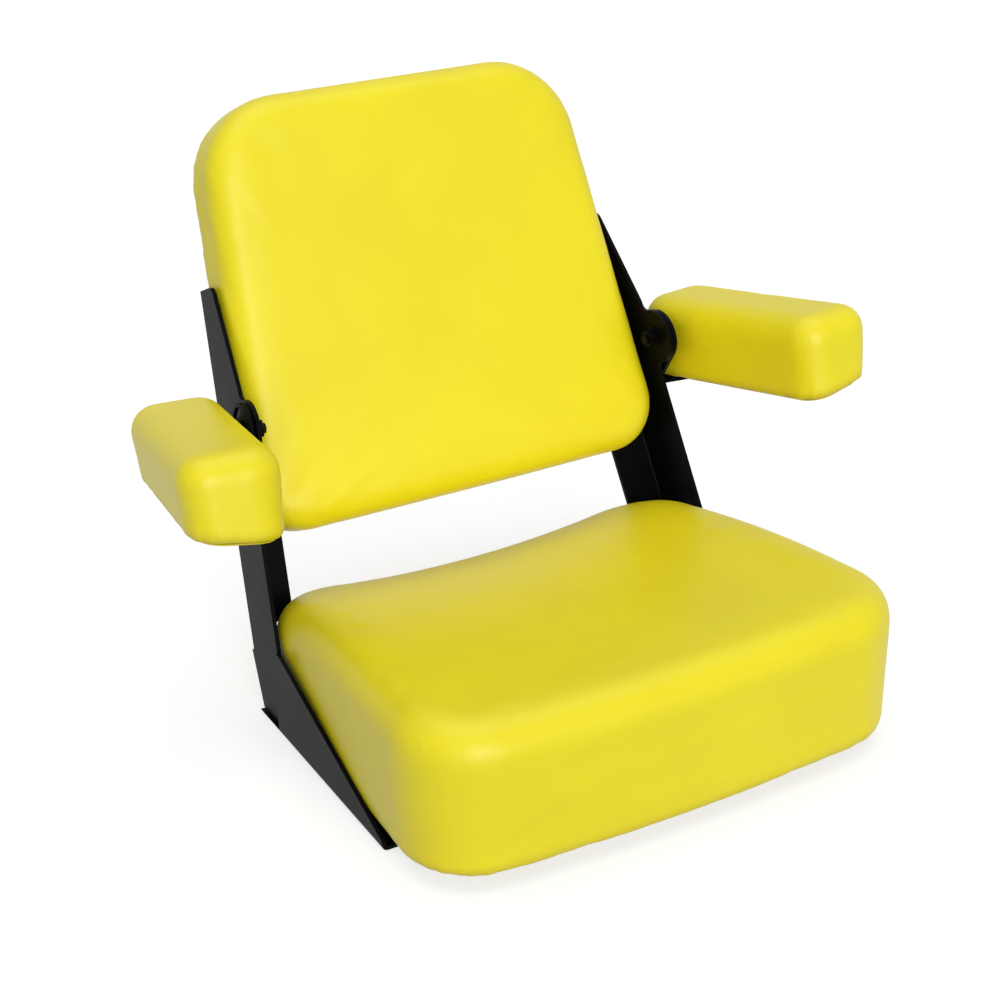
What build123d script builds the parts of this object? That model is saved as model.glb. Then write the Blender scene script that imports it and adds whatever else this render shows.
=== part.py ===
from build123d import *
import os
from math import cos, radians, sin, tan

# Tractor seat with flip-up arm rests, in millimetres. Z is up, the seat faces -Y, and the origin lies in
# the middle of the base bolts on the underside of the side rails. Left is -X, right is +X.

# Sheet steel
steel = 4.0
bend_outside = 6.0
bend_inside = 2.0

# Side rails
rail_flange = 45.0
rail_front = -130.0
rail_behind_foot = 1.0
web_before_line = 38.6
web_rear_height = 97.0
web_front_height = 10.0
web_corner = 12.0
web_nose = 3.0
base_hole_inset = 22.0
base_spacing_y = 215.0
base_hole_radius = 5.5

# Uprights
lean = 22.7
incline = 4.85
rear_line_y = 131.6
fold_height = 66.0
upright_length = 346.5
upright_depth = 72.0
upright_flange = 45.0
flange_start = 8.0
flange_slant = 25.0
taper_width = 34.0
taper_gap = 2.0
foot_before_line = 71.6
foot_behind_line = 7.4
tip_radius = 10.0

# Pressed channels between the rails
channel_steel = 3.0
channel_height = 12.0
channel_crown = 44.0
channel_brim = 12.0
channel_bend = 4.0
channel_front_y = -58.0
channel_rear_y = 52.0
channel_end_gap = 2.0

# Boards and their fixings
board = 12.0
board_inset = 14.0
foam_gap = 0.3
bolt_radius = 4.0
bolt_clearance = 0.4
hexagon = 6
head_radius = 7.2
head_height = 5.3
head_chamfer = 0.7
washer_radius = 8.5
washer_thickness = 1.6
tee_barrel_radius = 5.0
tee_flange_radius = 11.0
tee_flange = 1.5
tee_bore_clearance = 0.05
tee_seat_clearance = 0.1
bolt_end_gap = 1.0
seat_bolt_inset = 93.0
back_bolt_edge = 12.0
back_bolt_low = 164.6
back_bolt_high = 294.6

# Seat cushion, whose width the frame follows
seat_front_half = 254.0
seat_overhang = 11.0
seat_taper = 20.0
seat_depth = 413.6
seat_behind_line = 49.4
seat_bow = 15.0
seat_front_corner = 77.0
seat_rear_corner = 88.0
seat_draft = 5.0
seat_front_height = 136.0
seat_slope = 4.6
seat_front_crown = 5.0
seat_side_rise = 18.0
seat_middle_dish = 21.0
seat_rear_dish = 30.0
seat_top_edge = 32.0
seat_bottom_edge = 6.0

# Back cushion
back_start = 166.7
back_height = 412.4
back_thickness = 61.0
back_crown = 7.0
back_side_gap = 4.0
back_side_slope = 4.6
back_low_corner = 52.0
back_high_corner = 83.5
back_front_edge = 26.0
back_rear_edge = 6.0

# Arm rests, placed from their pivots
pivot_ahead = 10.0
pivot_up = 208.4
ear_radius = 28.0
ear_blend = 8.0
arm_swing = 100.0
arm_splay = 8.0
arm_tilt = 8.8
pad_length = 253.0
pad_width = 93.0
pad_height = 77.5
pad_behind_pivot = 48.7
pad_above_pivot = 32.7
pad_side_gap = 12.0
pad_roll = 8.0
pad_inner_draw = 5.0
pad_outer_draw = 9.0
pad_corner = 28.0
pad_top_edge = 24.0
pad_bottom_edge = 5.0
pad_rim_gap = 1.0

# Arm hinges
pivot_radius = 5.0
pivot_clearance = 0.06
pivot_head_radius = 10.0
pivot_head_height = 3.0
pivot_nut_radius = 9.2
pivot_nut_height = 8.0
pivot_washer_radius = 11.0
pivot_washer_thickness = 2.0
pivot_end = 3.0
running_gap = 0.2
bracket_ear_radius = 26.0
bracket_steel = 4.0
stop_radius = 18.0
stop_pin_radius = 4.0
stop_clearance = 0.3
stop_pin_proud = 1.0
foot_start = -8.0
foot_end = 25.0
shelf_inner = -25.0
shelf_outer = 14.0
shelf_end_gap = 32.7
shelf_neck = 60.0
shelf_corner = 12.0
arm_board_inset = 11.0
arm_screw_radius = 2.5
arm_screw_head_radius = 5.0
arm_screw_head = 2.8
arm_screw_head_slant = 20.0
arm_screw_length = 12.0
arm_screw_clearance = 0.05
arm_screw_first = 50.0
arm_screw_last_gap = 29.0
arm_screw_count = 3

# Sizes of the frame that follow
rail_inside_half = seat_front_half - seat_overhang
base_spacing_x = 2 * (rail_inside_half - base_hole_inset)
foot_front_y = rear_line_y - foot_before_line
foot_rear_y = rear_line_y + foot_behind_line
rail_rear = foot_rear_y + rail_behind_foot
web_rear = rear_line_y - web_before_line
pivot_forward = upright_depth + pivot_ahead
taper_start = pivot_up + ear_radius + ear_blend + taper_gap
seat_base = steel + channel_height
seat_bolt_x = rail_inside_half - seat_bolt_inset
back_bolt_inward = upright_flange - back_bolt_edge

# Sizes of the cushions and arms that follow
seat_rear_half = seat_front_half - seat_taper
seat_rear = rear_line_y + seat_behind_line
seat_front = seat_rear - seat_depth
web_beside_back = rail_inside_half - (back_start - fold_height) * tan(radians(incline))
back_low_half = web_beside_back - steel / cos(radians(incline)) - back_side_gap
back_high_half = back_low_half - back_height * tan(radians(back_side_slope))
pad_beside_pivot = pad_width / 2 + pad_side_gap
shelf_end = pad_length - shelf_end_gap
arm_screw_pitch = (shelf_end - arm_screw_first - arm_screw_last_gap) / (arm_screw_count - 1)

# Directions
forward = Vector(0, -cos(radians(lean)), sin(radians(lean)))
lean_up = Vector(0, sin(radians(lean)), cos(radians(lean)))
outward = Vector(cos(radians(incline)), sin(radians(incline)) * lean_up.Y, sin(radians(incline)) * lean_up.Z)
upward = Vector(-sin(radians(incline)), cos(radians(incline)) * lean_up.Y, cos(radians(incline)) * lean_up.Z)

# The back's plane has its origin under the uprights, Y up the lean and Z towards the sitter.
back_plane = Plane(origin=(0, rear_line_y, 0), x_dir=(1, 0, 0), z_dir=forward)
# The right upright's web: X forward from its rear corner, Y up the upright, Z towards the cushion.
web_origin = back_plane.from_local_coords(Vector(rail_inside_half, fold_height, 0))
web_plane = Plane(origin=web_origin, x_dir=forward, z_dir=outward * -1)
across_plane = Plane(origin=web_origin, x_dir=forward, z_dir=upward)
flange_plane = Plane(origin=web_origin, x_dir=outward * -1, z_dir=forward * -1)

# The right arm's pad: X to its front, Y outward, Z up, with the origin at the rear end of its top.
arm_ahead = Vector(
    sin(radians(arm_splay)) * cos(radians(arm_tilt)),
    -cos(radians(arm_splay)) * cos(radians(arm_tilt)),
    sin(radians(arm_tilt)),
)
arm_aside = Vector(cos(radians(arm_splay)), sin(radians(arm_splay)), 0)
arm_up = arm_ahead.cross(arm_aside)
pivot = web_plane.from_local_coords(Vector(pivot_forward, pivot_up, 0))
pad_origin = pivot - arm_ahead * pad_behind_pivot + arm_aside * pad_beside_pivot + arm_up * pad_above_pivot
pad_plane = Plane(origin=pad_origin, x_dir=arm_ahead, z_dir=arm_up)

# Distances outward from the web, along the pivot
ear_inside = pivot_washer_thickness + running_gap
ear_outside = ear_inside + bracket_steel
head_inside = ear_outside + running_gap

right_hand = {}
os.makedirs("parts", exist_ok=True)


def write(piece, name):
    """Label a finished piece and write it under its own name."""
    piece.label = name
    export_step(piece, f"parts/{name}.step")


def seat_plan(inset):
    """Plan of the seat cushion, this far inside its widest line."""
    with BuildSketch(mode=Mode.PRIVATE) as plan:
        front = seat_front + inset
        rear = seat_rear - inset
        front_half = seat_front_half - inset
        rear_half = seat_rear_half - inset
        with BuildLine():
            ThreePointArc((-front_half, front), (0, front - seat_bow), (front_half, front))
            Polyline((front_half, front), (rear_half, rear), (-rear_half, rear), (-front_half, front))
        make_face()
        fillet(plan.vertices().group_by(Axis.Y)[0], seat_front_corner - inset)
        fillet(plan.vertices().group_by(Axis.Y)[-1], seat_rear_corner - inset)
    return plan.sketch


def back_plan(inset):
    """Outline of the back cushion in the back's plane, this far inside its widest line."""
    with BuildSketch(mode=Mode.PRIVATE) as plan:
        low = back_start + inset
        high = back_start + back_height - inset
        low_half = back_low_half - inset
        high_half = back_high_half - inset
        with BuildLine():
            Polyline((-low_half, low), (low_half, low), (high_half, high), (-high_half, high), close=True)
        make_face()
        fillet(plan.vertices().group_by(Axis.Y)[0], back_low_corner - inset)
        fillet(plan.vertices().group_by(Axis.Y)[-1], back_high_corner - inset)
    return plan.sketch


def pad_plan(inset, inner_draw, outer_draw):
    """Outline of an arm pad seen from above, this far inside its edge and drawn in at both sides."""
    width = pad_width - inner_draw - outer_draw
    with BuildSketch(mode=Mode.PRIVATE) as plan:
        with Locations((pad_length / 2, (inner_draw - outer_draw) / 2)):
            RectangleRounded(pad_length - 2 * inset, width - 2 * inset, pad_corner - inset)
    return plan.sketch


def stop_slot():
    """Arc slot about the pivot, from the stop pin's place over the arm's whole swing."""
    with BuildSketch(mode=Mode.PRIVATE) as slot:
        with BuildLine() as middle:
            CenterArc((pivot_forward, pivot_up), stop_radius, 180 - arm_swing, arm_swing)
        SlotArc(middle.edge(), 2 * (stop_pin_radius + stop_clearance))
    return slot.sketch


def hex_bolts(plane, points, head, height, shank, length):
    """Hexagon bolts with their heads behind the plane and their shanks ahead of it."""
    with BuildPart() as bolts:
        with BuildSketch(plane):
            with Locations(*points):
                RegularPolygon(head, hexagon)
        extrude(amount=-height)
        chamfer(bolts.faces().sort_by(Axis(plane.origin, plane.z_dir))[: len(points)].edges(), head_chamfer)
        with BuildSketch(plane):
            with Locations(*points):
                Circle(shank)
        extrude(amount=length)
    return bolts.part


def rings(plane, points, outside, inside, thickness):
    """Flat round washers on a plane."""
    with BuildPart() as washers:
        with BuildSketch(plane):
            with Locations(*points):
                Circle(outside)
                Circle(inside, mode=Mode.SUBTRACT)
        extrude(amount=thickness)
    return washers.part


def tee_nuts(plane, points, depth):
    """Tee nuts hung by their flanges from a plane, with their barrels this deep in the board."""
    bore = bolt_radius + tee_bore_clearance
    with BuildPart() as nuts:
        with BuildSketch(plane):
            with Locations(*points):
                Circle(tee_flange_radius)
                Circle(bore, mode=Mode.SUBTRACT)
        extrude(amount=-tee_flange)
        with BuildSketch(plane.offset(-tee_flange)):
            with Locations(*points):
                Circle(tee_barrel_radius)
                Circle(bore, mode=Mode.SUBTRACT)
        extrude(amount=tee_flange - depth)
    return nuts.part


# Side rail: a folded angle whose web tapers to the front
with BuildPart() as side_rail_right:
    with BuildSketch(Plane.XZ.offset(-rail_rear)) as rail_section:
        with BuildLine():
            Polyline(
                (rail_inside_half + steel, 0),
                (rail_inside_half + steel, web_rear_height),
                (rail_inside_half, web_rear_height),
                (rail_inside_half, steel),
                (rail_inside_half + steel - rail_flange, steel),
                (rail_inside_half + steel - rail_flange, 0),
                close=True,
            )
        make_face()
        corners = rail_section.vertices().group_by(Axis.X)
        fillet(corners[-1].sort_by(Axis.Y)[0], bend_outside)
        fillet(corners[-2].sort_by(Axis.Y)[0], bend_inside)
    extrude(amount=rail_rear - rail_front)
    with BuildSketch(Plane.YZ.offset(rail_inside_half - bend_inside)) as above_web:
        with BuildLine():
            Polyline(
                (rail_front, web_front_height),
                (web_rear, web_rear_height),
                (web_rear, steel),
                (rail_rear, steel),
                (rail_rear, web_rear_height + steel),
                (rail_front, web_rear_height + steel),
                close=True,
            )
        make_face()
    extrude(amount=steel + bend_inside, mode=Mode.SUBTRACT)
    web_edges = side_rail_right.edges().filter_by(Axis.X).group_by(Axis.Z)
    fillet(web_edges[-1], web_corner)
    nose = Vector(rail_inside_half, rail_front, web_front_height)
    fillet(side_rail_right.edges().filter_by(Axis.X).sort_by_distance(nose)[0], web_nose)
    with BuildSketch(Plane.XY):
        with GridLocations(base_spacing_x, base_spacing_y, 2, 2):
            Circle(base_hole_radius)
    extrude(amount=steel, mode=Mode.SUBTRACT)
right_hand["side_rail"] = side_rail_right.part

# Upright: a folded angle with a vertical foot, a tapered tip and a round ear for the arm's pivot
with BuildPart() as upright_right:
    with BuildSketch(across_plane) as angle_section:
        with BuildLine():
            Polyline(
                (0, 0),
                (upright_depth, 0),
                (upright_depth, -steel),
                (steel, -steel),
                (steel, -upright_flange),
                (0, -upright_flange),
                close=True,
            )
        make_face()
        fillet(angle_section.vertices().sort_by_distance((0, 0))[0], bend_outside)
        fillet(angle_section.vertices().sort_by_distance((steel, -steel))[0], bend_inside)
    extrude(amount=upright_length)
    with BuildSketch(flange_plane):
        with BuildLine():
            Polyline(
                (steel, 0),
                (upright_flange, 0),
                (upright_flange, flange_start + flange_slant),
                (steel + bend_inside, flange_start),
                (steel, flange_start),
                close=True,
            )
        make_face()
    extrude(amount=-upright_depth, mode=Mode.SUBTRACT)
    with BuildSketch(web_plane) as ear:
        with Locations((pivot_forward, pivot_up)):
            Circle(ear_radius)
        with Locations((upright_depth, pivot_up)):
            Rectangle(2 * ear_radius, 2 * (ear_radius + 2 * ear_blend), align=(Align.MAX, Align.CENTER))
        neck = ear.vertices().filter_by_position(Axis.Y, pivot_up - ear_radius, pivot_up + ear_radius)
        fillet(neck.group_by(Axis.X)[0], ear_blend)
    extrude(amount=steel)
    with BuildSketch(web_plane):
        with Locations((pivot_forward, pivot_up)):
            Circle(pivot_radius + pivot_clearance)
    extrude(amount=steel, mode=Mode.SUBTRACT)
    with BuildSketch(web_plane):
        with BuildLine():
            Polyline(
                (upright_depth, upright_length),
                (upright_depth - taper_width, upright_length),
                (upright_depth, taper_start),
                close=True,
            )
        make_face()
    extrude(amount=steel, mode=Mode.SUBTRACT)
    fold_rear = web_plane.from_local_coords(Vector(0, 0, 0))
    fold_front = web_plane.from_local_coords(Vector(upright_depth, 0, 0))
    with BuildSketch(Plane.YZ.offset(rail_inside_half - steel)):
        with BuildLine():
            Polyline(
                (fold_rear.Y, fold_rear.Z),
                (fold_front.Y, fold_front.Z),
                (foot_front_y, steel + bend_inside),
                (foot_rear_y, steel + bend_inside),
                close=True,
            )
        make_face()
    extrude(amount=steel)
    web_tip = web_plane.from_local_coords(Vector(upright_depth - taper_width, upright_length, 0))
    web_edges = upright_right.edges().filter_by(Axis(web_origin, outward))
    fillet(web_edges.sort_by_distance(web_tip)[0], tip_radius)
    flange_tip = flange_plane.from_local_coords(Vector(upright_flange, upright_length, 0))
    flange_edges = upright_right.edges().filter_by(Axis(web_origin, forward))
    fillet(flange_edges.sort_by_distance(flange_tip)[0], tip_radius)
    with BuildSketch(flange_plane):
        for rise in (back_bolt_low, back_bolt_high):
            with Locations((back_bolt_inward, rise)):
                Circle(bolt_radius + bolt_clearance)
    extrude(amount=-steel, mode=Mode.SUBTRACT)
right_hand["upright"] = upright_right.part

# Pressed channels that carry the seat board
channel_half = rail_inside_half - steel - channel_end_gap
for name, channel_y in (("cross_member_front", channel_front_y), ("cross_member_rear", channel_rear_y)):
    with BuildPart() as channel:
        with BuildSketch(Plane.YZ.offset(-channel_half)):
            with BuildLine():
                FilletPolyline(
                    (channel_y - channel_crown / 2 - channel_brim, steel),
                    (channel_y - channel_crown / 2, steel),
                    (channel_y - channel_crown / 2, seat_base - channel_steel),
                    (channel_y + channel_crown / 2, seat_base - channel_steel),
                    (channel_y + channel_crown / 2, steel),
                    (channel_y + channel_crown / 2 + channel_brim, steel),
                    radius=channel_bend - channel_steel / 2,
                )
                offset(amount=channel_steel, side=Side.LEFT)
            make_face()
        extrude(amount=2 * channel_half)
        with BuildSketch(Plane.XY.offset(seat_base - channel_steel)):
            with Locations((-seat_bolt_x, channel_y), (seat_bolt_x, channel_y)):
                Circle(bolt_radius + bolt_clearance)
        extrude(amount=channel_steel, mode=Mode.SUBTRACT)
    write(channel.part, name)

# Seat board with sunk seats for its tee nuts
seat_points = [(x, y) for x in (-seat_bolt_x, seat_bolt_x) for y in (channel_front_y, channel_rear_y)]
with BuildPart() as seat_board:
    with BuildSketch(Plane.XY.offset(seat_base)):
        add(seat_plan(seat_draft + board_inset))
    extrude(amount=board)
    with Locations(Plane.XY.offset(seat_base + board)):
        with Locations(*seat_points):
            CounterBoreHole(
                tee_barrel_radius + tee_seat_clearance,
                tee_flange_radius + tee_seat_clearance,
                tee_flange,
            )
write(seat_board.part, "seat_board")

seat_nut_plane = Plane.XY.offset(seat_base + board)
seat_washer_plane = Plane.XY.offset(seat_base - channel_steel - washer_thickness)
seat_bolt_length = channel_steel + washer_thickness + board - bolt_end_gap
write(tee_nuts(seat_nut_plane, seat_points, board), "seat_tee_nuts")
write(
    rings(seat_washer_plane, seat_points, washer_radius, bolt_radius + bolt_clearance, washer_thickness),
    "seat_washers",
)
write(
    hex_bolts(seat_washer_plane, seat_points, head_radius, head_height, bolt_radius, seat_bolt_length),
    "seat_bolts",
)

# Space under the seat's top: crowned at the front, dished between raised sides towards the rear
seat_rise = seat_base + foam_gap
form_front = seat_front - 2 * seat_bow
top_sections = (
    (form_front, 0, seat_front_crown),
    ((form_front + seat_rear) / 2, seat_side_rise, -seat_middle_dish),
    (seat_rear, 0, -seat_rear_dish),
)
with BuildPart() as under_seat_top:
    for section_y, side_rise, middle in top_sections:
        slope_fall = (section_y - seat_front) * tan(radians(seat_slope))
        edge_height = seat_rise + seat_front_height - slope_fall + side_rise
        with BuildSketch(Plane.XZ.offset(-section_y)):
            with BuildLine():
                ThreePointArc(
                    (-seat_front_half, edge_height),
                    (0, edge_height + middle),
                    (seat_front_half, edge_height),
                )
                Polyline(
                    (seat_front_half, edge_height),
                    (seat_front_half, seat_base),
                    (-seat_front_half, seat_base),
                    (-seat_front_half, edge_height),
                )
            make_face()
    loft()

# Seat cushion: a wedge with a bowed front, drawn in towards its board
with BuildPart() as seat_cushion:
    blank_height = seat_front_height + 2 * seat_bow
    with BuildSketch(Plane.XY.offset(seat_rise)):
        add(seat_plan(seat_draft))
    with BuildSketch(Plane.XY.offset(seat_rise + blank_height)):
        add(seat_plan(0))
    loft()
    add(under_seat_top.part, mode=Mode.INTERSECT)
    fillet(seat_cushion.faces().sort_by(Axis.Z)[-1].edges(), seat_top_edge)
    fillet(seat_cushion.faces().sort_by(Axis.Z)[0].edges(), seat_bottom_edge)
    with BuildSketch(Plane.XY.offset(seat_rise)):
        add(seat_plan(seat_draft + board_inset - foam_gap))
    extrude(amount=board, mode=Mode.SUBTRACT)
write(seat_cushion.part, "seat_cushion")

# Back board with sunk seats for its tee nuts
back_points = []
for rise in (back_bolt_low, back_bolt_high):
    hole = flange_plane.from_local_coords(Vector(back_bolt_inward, rise, 0))
    place = back_plane.to_local_coords(hole)
    back_points.append((place.X, place.Y))
    back_points.append((-place.X, place.Y))
with BuildPart() as back_board:
    with BuildSketch(back_plane.offset(steel)):
        add(back_plan(board_inset))
    extrude(amount=board)
    with Locations(back_plane.offset(steel + board)):
        with Locations(*back_points):
            CounterBoreHole(
                tee_barrel_radius + tee_seat_clearance,
                tee_flange_radius + tee_seat_clearance,
                tee_flange,
            )
write(back_board.part, "back_board")

back_washer_plane = back_plane.offset(-washer_thickness)
back_bolt_length = washer_thickness + steel + board - bolt_end_gap
write(tee_nuts(back_plane.offset(steel + board), back_points, board), "back_tee_nuts")
write(
    rings(back_washer_plane, back_points, washer_radius, bolt_radius + bolt_clearance, washer_thickness),
    "back_washers",
)
write(
    hex_bolts(back_washer_plane, back_points, head_radius, head_height, bolt_radius, back_bolt_length),
    "back_bolts",
)

# Back cushion: a tapering pad with a crowned front
with BuildPart() as back_cushion:
    back_rear = steel + foam_gap
    with BuildSketch(back_plane.offset(back_rear)):
        add(back_plan(0))
    extrude(amount=back_thickness + back_crown)
    across_back = Plane(
        origin=back_plane.from_local_coords(Vector(0, back_start - back_crown, back_rear)),
        x_dir=(1, 0, 0),
        z_dir=lean_up,
    )
    with BuildSketch(across_back):
        with BuildLine():
            ThreePointArc(
                (-back_low_half, -back_thickness),
                (0, -back_thickness - back_crown),
                (back_low_half, -back_thickness),
            )
            Polyline(
                (back_low_half, -back_thickness),
                (back_low_half, 0),
                (-back_low_half, 0),
                (-back_low_half, -back_thickness),
            )
        make_face()
    extrude(amount=back_height + 2 * back_crown, mode=Mode.INTERSECT)
    facing = Axis(back_plane.origin, forward)
    fillet(back_cushion.faces().sort_by(facing)[-1].edges(), back_front_edge)
    fillet(back_cushion.faces().sort_by(facing)[0].edges(), back_rear_edge)
    with BuildSketch(back_plane.offset(back_rear)):
        add(back_plan(board_inset - foam_gap))
    extrude(amount=board, mode=Mode.SUBTRACT)
write(back_cushion.part, "back_cushion")

# Arm pad: a rounded block, drawn in below and rising outward underneath, with a pocket for its board
underside_up = arm_up * cos(radians(pad_roll)) - arm_aside * sin(radians(pad_roll))
pad_underside = Plane(origin=pad_origin - arm_up * pad_height, x_dir=arm_ahead, z_dir=underside_up)
with BuildPart() as arm_pad_right:
    with BuildSketch(pad_plane.offset(-pad_height - pad_width * tan(radians(pad_roll)))):
        add(pad_plan(0, pad_inner_draw, pad_outer_draw))
    with BuildSketch(pad_plane):
        add(pad_plan(0, 0, 0))
    loft()
    split(bisect_by=pad_underside.offset(pad_rim_gap), keep=Keep.TOP)
    upright_axis = Axis(pad_plane.origin, arm_up)
    fillet(arm_pad_right.faces().sort_by(upright_axis)[-1].edges(), pad_top_edge)
    fillet(arm_pad_right.faces().sort_by(upright_axis)[0].edges(), pad_bottom_edge)
    with BuildSketch(pad_underside):
        add(pad_plan(arm_board_inset - foam_gap, pad_inner_draw, pad_outer_draw))
    extrude(amount=board + foam_gap, mode=Mode.SUBTRACT)
right_hand["arm_pad"] = arm_pad_right.part

# Arm board with pilot holes for the screws
screw_points = [(arm_screw_first + arm_screw_pitch * count, 0) for count in range(arm_screw_count)]
with BuildPart() as arm_board_right:
    with BuildSketch(pad_underside):
        add(pad_plan(arm_board_inset, pad_inner_draw, pad_outer_draw))
    extrude(amount=board)
    with BuildSketch(pad_underside):
        with Locations(*screw_points):
            Circle(arm_screw_radius + arm_screw_clearance)
    extrude(amount=arm_screw_length - bracket_steel + bolt_end_gap, mode=Mode.SUBTRACT)
right_hand["arm_board"] = arm_board_right.part

# Arm bracket: a hinge ear with an arc slot, folded outward into a shelf under the pad
shelf_below = pad_underside.offset(-bracket_steel)
with BuildPart() as arm_bracket_right:
    foot_points = []
    for place in (foot_start, foot_end):
        corner = shelf_below.from_local_coords(Vector(place, -pad_beside_pivot, -bracket_steel))
        corner_on_web = web_plane.to_local_coords(corner)
        foot_points.append((corner_on_web.X, corner_on_web.Y))
    with BuildSketch(web_plane.offset(-ear_outside)):
        with BuildLine():
            CenterArc((pivot_forward, pivot_up), bracket_ear_radius, 0, 360)
            Line(*foot_points)
        make_hull()
    extrude(amount=bracket_steel)
    with BuildSketch(shelf_below):
        with BuildLine():
            Polyline(
                (foot_start, -pad_beside_pivot),
                (foot_end, -pad_beside_pivot),
                (shelf_neck, shelf_inner),
                (shelf_end, shelf_inner),
                (shelf_end, shelf_outer),
                (shelf_neck, shelf_outer),
                (foot_start, -pad_width / 4),
                close=True,
            )
        make_face()
    extrude(amount=bracket_steel)
    split(bisect_by=shelf_below, keep=Keep.TOP)
    split(bisect_by=web_plane.offset(-ear_inside), keep=Keep.BOTTOM)
    shelf_tips = arm_bracket_right.edges().filter_by(Axis(pad_plane.origin, underside_up))
    fillet(shelf_tips.sort_by(Axis(pad_plane.origin, arm_ahead))[-2:], shelf_corner)
    fold_line = Axis(pivot, outward.cross(underside_up))
    into_fold = Axis(pivot, outward + underside_up)
    fillet(arm_bracket_right.edges().filter_by(fold_line).sort_by(into_fold)[-1], bend_inside)
    fillet(arm_bracket_right.edges().filter_by(fold_line).sort_by(into_fold)[0], bend_outside)
    with BuildSketch(web_plane.offset(-ear_outside)):
        with Locations((pivot_forward, pivot_up)):
            Circle(pivot_radius + pivot_clearance)
        add(stop_slot())
    extrude(amount=bracket_steel, mode=Mode.SUBTRACT)
    with BuildSketch(shelf_below):
        with Locations(*screw_points):
            Circle(arm_screw_radius + bolt_clearance)
    extrude(amount=bracket_steel, mode=Mode.SUBTRACT)
right_hand["arm_bracket"] = arm_bracket_right.part

# Arm screws, driven up through the shelf
with BuildPart() as arm_screws_right:
    with BuildSketch(shelf_below):
        with Locations(*screw_points):
            Circle(arm_screw_head_radius)
    extrude(amount=-arm_screw_head, taper=arm_screw_head_slant)
    with BuildSketch(shelf_below):
        with Locations(*screw_points):
            Circle(arm_screw_radius)
    extrude(amount=arm_screw_length)
right_hand["arm_screws"] = arm_screws_right.part

# Arm hinge: pin with its flat head outside, a spacer between web and ear, washer and nut inside
pivot_point = [(pivot_forward, pivot_up)]
nut_plane = web_plane.offset(steel + pivot_washer_thickness)
head_plane = web_plane.offset(-head_inside)
pin_length = head_inside + steel + pivot_washer_thickness + pivot_nut_height + pivot_end
with BuildPart() as pivot_bolt_right:
    with BuildSketch(head_plane):
        with Locations(*pivot_point):
            Circle(pivot_head_radius)
    extrude(amount=-pivot_head_height)
    chamfer(pivot_bolt_right.faces().sort_by(Axis(pivot, outward))[-1].edges(), head_chamfer)
    with BuildSketch(head_plane):
        with Locations(*pivot_point):
            Circle(pivot_radius)
    extrude(amount=pin_length)
right_hand["pivot_bolt"] = pivot_bolt_right.part
right_hand["pivot_spacer"] = rings(
    web_plane.offset(-pivot_washer_thickness),
    pivot_point,
    pivot_washer_radius,
    pivot_radius + pivot_clearance,
    pivot_washer_thickness,
)
right_hand["pivot_washer"] = rings(
    web_plane.offset(steel),
    pivot_point,
    pivot_washer_radius,
    pivot_radius + pivot_clearance,
    pivot_washer_thickness,
)
with BuildPart() as pivot_nut_right:
    with BuildSketch(nut_plane):
        with Locations(*pivot_point):
            RegularPolygon(pivot_nut_radius, hexagon)
    extrude(amount=pivot_nut_height)
    chamfer(pivot_nut_right.faces().sort_by(Axis(pivot, outward))[0].edges(), head_chamfer)
    with BuildSketch(nut_plane):
        with Locations(*pivot_point):
            Circle(pivot_radius + pivot_clearance)
    extrude(amount=pivot_nut_height, mode=Mode.SUBTRACT)
right_hand["pivot_nut"] = pivot_nut_right.part

with BuildPart() as arm_stop_pin_right:
    with BuildSketch(web_plane):
        with Locations((pivot_forward - stop_radius, pivot_up)):
            Circle(stop_pin_radius)
    extrude(amount=-ear_outside - stop_pin_proud)
right_hand["arm_stop_pin"] = arm_stop_pin_right.part

# The left side mirrors the right
for name, right_piece in right_hand.items():
    with BuildPart() as left_piece:
        mirror(right_piece, about=Plane.YZ)
    write(right_piece, f"{name}_right")
    write(left_piece.part, f"{name}_left")
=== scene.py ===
import logging
import math
from dataclasses import dataclass, field
from enum import Enum
from typing import Any, Sequence

import bmesh
import bpy
import numpy as np
from mathutils import Matrix, Vector, noise
from mathutils.bvhtree import BVHTree


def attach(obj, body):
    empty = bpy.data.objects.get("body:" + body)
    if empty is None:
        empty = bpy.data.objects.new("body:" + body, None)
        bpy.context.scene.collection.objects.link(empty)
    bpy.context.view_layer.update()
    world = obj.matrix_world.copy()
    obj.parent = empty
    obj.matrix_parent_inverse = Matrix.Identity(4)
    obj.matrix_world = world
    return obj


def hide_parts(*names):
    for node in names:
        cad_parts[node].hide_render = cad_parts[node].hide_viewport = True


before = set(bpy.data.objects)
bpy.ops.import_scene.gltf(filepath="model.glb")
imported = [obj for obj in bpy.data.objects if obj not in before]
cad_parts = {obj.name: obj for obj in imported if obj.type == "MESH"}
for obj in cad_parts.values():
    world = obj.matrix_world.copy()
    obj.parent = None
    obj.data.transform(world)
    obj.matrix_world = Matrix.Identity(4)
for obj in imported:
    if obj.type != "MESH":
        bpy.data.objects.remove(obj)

log = logging.getLogger("tractor_seat")
NODES: dict[str, bpy.types.Object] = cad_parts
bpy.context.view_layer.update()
MM = 0.001


def linear(hex_colour: str) -> tuple[float, float, float, float]:
    """Turn an sRGB hex colour into linear RGBA.

    Args:
        hex_colour: six hexadecimal digits.

    Returns:
        The colour as Blender's sockets take it.
    """
    parts = [int(hex_colour[i:i + 2], 16) / 255 for i in (0, 2, 4)]
    red, green, blue = (c / 12.92 if c <= 0.04045 else ((c + 0.055) / 1.055) ** 2.4 for c in parts)
    return red, green, blue, 1.0


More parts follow.
